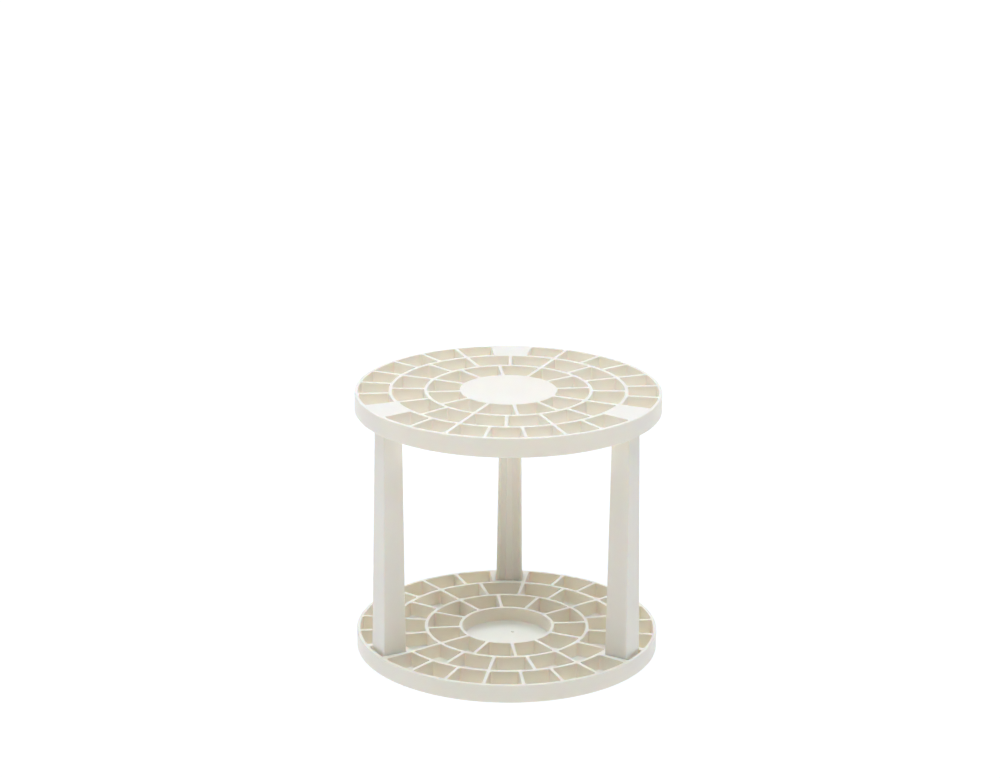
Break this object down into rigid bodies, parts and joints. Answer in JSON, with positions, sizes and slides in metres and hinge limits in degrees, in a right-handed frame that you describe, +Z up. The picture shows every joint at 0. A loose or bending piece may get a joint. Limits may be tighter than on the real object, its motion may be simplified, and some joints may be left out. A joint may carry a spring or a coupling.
{
  "type": "lazy susan organizer",
  "caption": "Round desk carousel for brushes and pens: a tray and a top disc of curved cells, held apart by tapered posts, on a low ball race.",
  "frame": {"origin": "on the table, under the middle of the turning axis", "axes": "+Z up along the turning axis; +Y towards the rear post; +X to the right, seen from the front"},
  "size_m": [0.16, 0.16, 0.1446],
  "materials": {
    "shell": "satin",
    "base": "satin",
    "race": "satin",
    "balls": "polished",
    "cage": "matte",
    "screws": "satin",
    "feet": "matte"
  },
  "bodies": {
    "base": {"base_plate": "base", "inner_race": "race", "base_screws": "screws", "rubber_foot_1": "feet", "rubber_foot_2": "feet", "rubber_foot_3": "feet", "rubber_foot_4": "feet", "rubber_foot_5": "feet", "rubber_foot_6": "feet"},
    "carousel": {"tray": "shell", "top_disc": "shell", "rear_post": "shell", "left_post": "shell", "right_post": "shell", "outer_race": "race", "post_screws": "screws", "race_screws": "screws"},
    "ball_train": {"ball_cage": "cage", "race_ball_01": "balls", "race_ball_02": "balls", "race_ball_03": "balls", "race_ball_04": "balls", "race_ball_05": "balls", "race_ball_06": "balls", "race_ball_07": "balls", "race_ball_08": "balls", "race_ball_09": "balls", "race_ball_10": "balls", "race_ball_11": "balls", "race_ball_12": "balls", "race_ball_13": "balls", "race_ball_14": "balls", "race_ball_15": "balls", "race_ball_16": "balls", "race_ball_17": "balls", "race_ball_18": "balls", "race_ball_19": "balls", "race_ball_20": "balls", "race_ball_21": "balls", "race_ball_22": "balls", "race_ball_23": "balls", "race_ball_24": "balls"}
  },
  "joints": [
    {"name": "carousel_spin", "type": "hinge", "parent": "base", "child": "carousel", "pos_m": [0, 0, 0.00285], "axis": [0, 0, 1], "continuous": true},
    {"name": "cage_spin", "type": "hinge", "parent": "base", "child": "ball_train", "pos_m": [0, 0, 0.00285], "axis": [0, 0, 1], "continuous": true}
  ],
  "couplings": [
    {"joint": "cage_spin", "follows": "carousel_spin", "ratio": 0.508}
  ]
}
